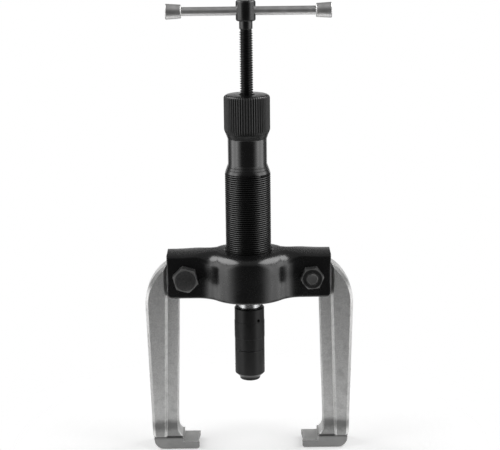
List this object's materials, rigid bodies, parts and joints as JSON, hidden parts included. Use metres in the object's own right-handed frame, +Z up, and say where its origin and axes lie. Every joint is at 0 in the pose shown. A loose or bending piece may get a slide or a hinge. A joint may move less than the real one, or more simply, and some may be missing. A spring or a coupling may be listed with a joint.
{
  "type": "hydraulic gear puller",
  "caption": "Gear puller with a black yoke, hinged steel jaws with inward feet, and a hydraulic spindle turned by a sliding bar.",
  "frame": {"origin": "on the spindle axis at the level of the soles of the jaws, where the puller stands", "axes": "+Z up along the spindle towards the sliding bar, X across the jaws, Y from front to back"},
  "size_m": [0.1758, 0.07, 0.3831],
  "materials": {
    "black_enamel": "gloss",
    "satin_forged_steel": "fine blasted satin",
    "black_oxide": "satin black oxide",
    "satin_nickel": "satin nickel",
    "hard_chrome": "ground and polished",
    "dark_steel": "dark satin, turned",
    "bright_steel": "ground",
    "spring_steel": "oiled",
    "seal_rubber": "matt",
    "seal_plastic": "matt"
  },
  "bodies": {
    "yoke": {"yoke": "black_enamel", "jaw_bolt_left": "black_oxide", "jaw_bolt_right": "black_oxide", "jaw_nut_left": "black_oxide", "jaw_nut_right": "black_oxide"},
    "jaw_left": {"jaw_left": "satin_forged_steel"},
    "jaw_right": {"jaw_right": "satin_forged_steel"},
    "return_spring": {"return_spring": "spring_steel"},
    "hydraulic_body": {"hydraulic_body": "black_oxide", "gland_nut": "black_oxide", "rod_wiper": "seal_plastic"},
    "ram": {"ram": "hard_chrome", "ram_seal": "seal_rubber", "ram_backup_ring": "seal_plastic", "extension_sleeve": "dark_steel", "grub_screw": "black_oxide", "center_tip": "dark_steel", "tip_retaining_ring": "seal_rubber", "center_pin": "dark_steel"},
    "plunger": {"plunger": "bright_steel", "plunger_seal": "seal_rubber", "plunger_backup_ring": "seal_plastic", "thrust_ball": "bright_steel"},
    "pressure_screw": {"pressure_screw": "black_oxide"},
    "tommy_bar": {"tommy_bar": "satin_nickel", "tommy_knob_left": "satin_nickel", "tommy_knob_right": "satin_nickel"}
  },
  "joints": [
    {"name": "jaw_right_swing", "type": "hinge", "parent": "yoke", "child": "jaw_right", "pos_m": [0.0529, 0, 0.1542], "axis": [0, -1, 0], "range_deg": [-7, 9]},
    {"name": "jaw_left_swing", "type": "hinge", "parent": "yoke", "child": "jaw_left", "pos_m": [-0.0529, 0, 0.1542], "axis": [0, 1, 0], "range_deg": [-7, 9]},
    {"name": "body_feed", "type": "slide", "parent": "yoke", "child": "return_spring", "axis": [0, 0, -1], "range_m": [-0.00613, 0.04725]},
    {"name": "body_turn", "type": "hinge", "parent": "return_spring", "child": "hydraulic_body", "pos_m": [0, 0, 0.2], "axis": [0, 0, -1], "range_deg": [-1260, 9720]},
    {"name": "ram_stroke", "type": "slide", "parent": "return_spring", "child": "ram", "axis": [0, 0, -1], "range_m": [0, 0.009], "deforming": ["return_spring"]},
    {"name": "plunger_feed", "type": "slide", "parent": "hydraulic_body", "child": "plunger", "axis": [0, 0, -1], "range_m": [0, 0.049]},
    {"name": "pressure_screw_turn", "type": "hinge", "parent": "plunger", "child": "pressure_screw", "pos_m": [0, 0, 0.35], "axis": [0, 0, -1], "range_deg": [0, 8820]},
    {"name": "bar_slide", "type": "slide", "parent": "pressure_screw", "child": "tommy_bar", "axis": [1, 0, 0], "range_m": [-0.0483, 0.0437]}
  ],
  "couplings": [
    {"joint": "body_feed", "follows": "body_turn", "m_per_rad": 0.00027852},
    {"joint": "plunger_feed", "follows": "pressure_screw_turn", "m_per_rad": 0.00031831},
    {"joint": "ram_stroke", "follows": "pressure_screw_turn", "m_per_rad": 0.000058465}
  ]
}
